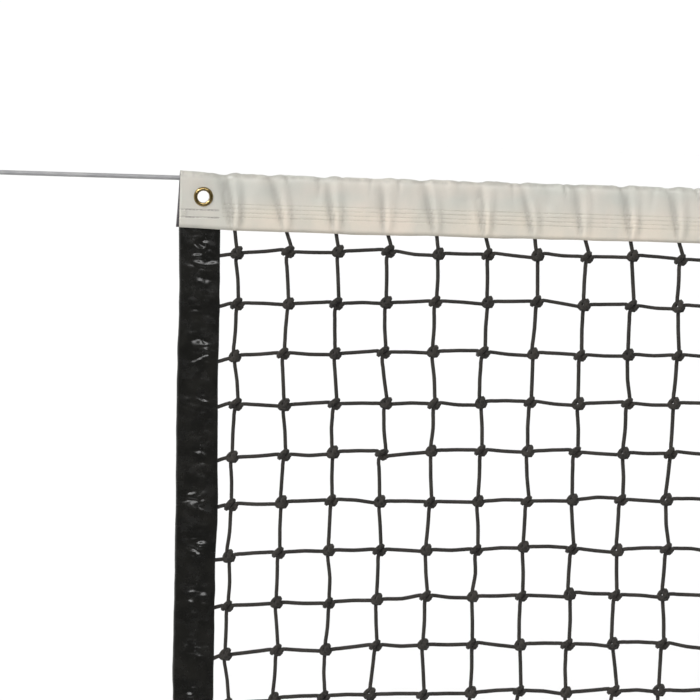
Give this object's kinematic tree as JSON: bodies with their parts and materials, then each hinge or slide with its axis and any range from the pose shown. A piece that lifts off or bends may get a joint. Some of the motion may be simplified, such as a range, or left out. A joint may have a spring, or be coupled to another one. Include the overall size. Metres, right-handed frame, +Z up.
{
  "type": "tennis net",
  "caption": "Full-size tennis net: knotted twine netting with a folded headband, side and bottom tapes, corner grommets and a sliding headline cable.",
  "frame": {"origin": "on the ground under the middle of the net", "axes": "+X along the net, +Y through it away from the viewer, +Z up"},
  "size_m": [13.3436, 0.0102, 1.0785],
  "materials": {
    "headband_vinyl": "satin coated fabric, pale warm grey",
    "white_thread": "twisted polyester sewing thread",
    "black_vinyl": "glossy wrinkled vinyl",
    "black_thread": "twisted polyester sewing thread",
    "twine": "matte braided polyethylene twine",
    "brass": "polished",
    "steel_strand": "galvanised strand",
    "cable_vinyl": "grey vinyl jacket, semi-gloss",
    "ferrule_alloy": "pressed, satin",
    "thimble_steel": "zinc plated"
  },
  "bodies": {
    "headline_cable": {"cable_core": "steel_strand", "cable_jacket": "cable_vinyl", "left_cable_end": "cable_vinyl", "right_cable_end": "cable_vinyl", "left_cable_loop": "cable_vinyl", "right_cable_loop": "cable_vinyl", "left_ferrule": "ferrule_alloy", "right_ferrule": "ferrule_alloy", "left_thimble": "thimble_steel", "right_thimble": "thimble_steel"},
    "net": {"headband": "headband_vinyl", "headband_thread": "white_thread", "left_corner_thread": "white_thread", "right_corner_thread": "white_thread", "left_side_tape": "black_vinyl", "right_side_tape": "black_vinyl", "bottom_tape": "black_vinyl", "left_side_tape_thread": "black_thread", "right_side_tape_thread": "black_thread", "bottom_tape_thread": "black_thread", "horizontal_twines": "twine", "vertical_twines": "twine", "left_grommet_eyelet": "brass", "right_grommet_eyelet": "brass", "left_grommet_washer": "brass", "right_grommet_washer": "brass"}
  },
  "joints": [
    {"name": "net_slide", "type": "slide", "parent": "headline_cable", "child": "net", "axis": [1, 0, 0], "range_m": [-0.199, 0.199]}
  ]
}
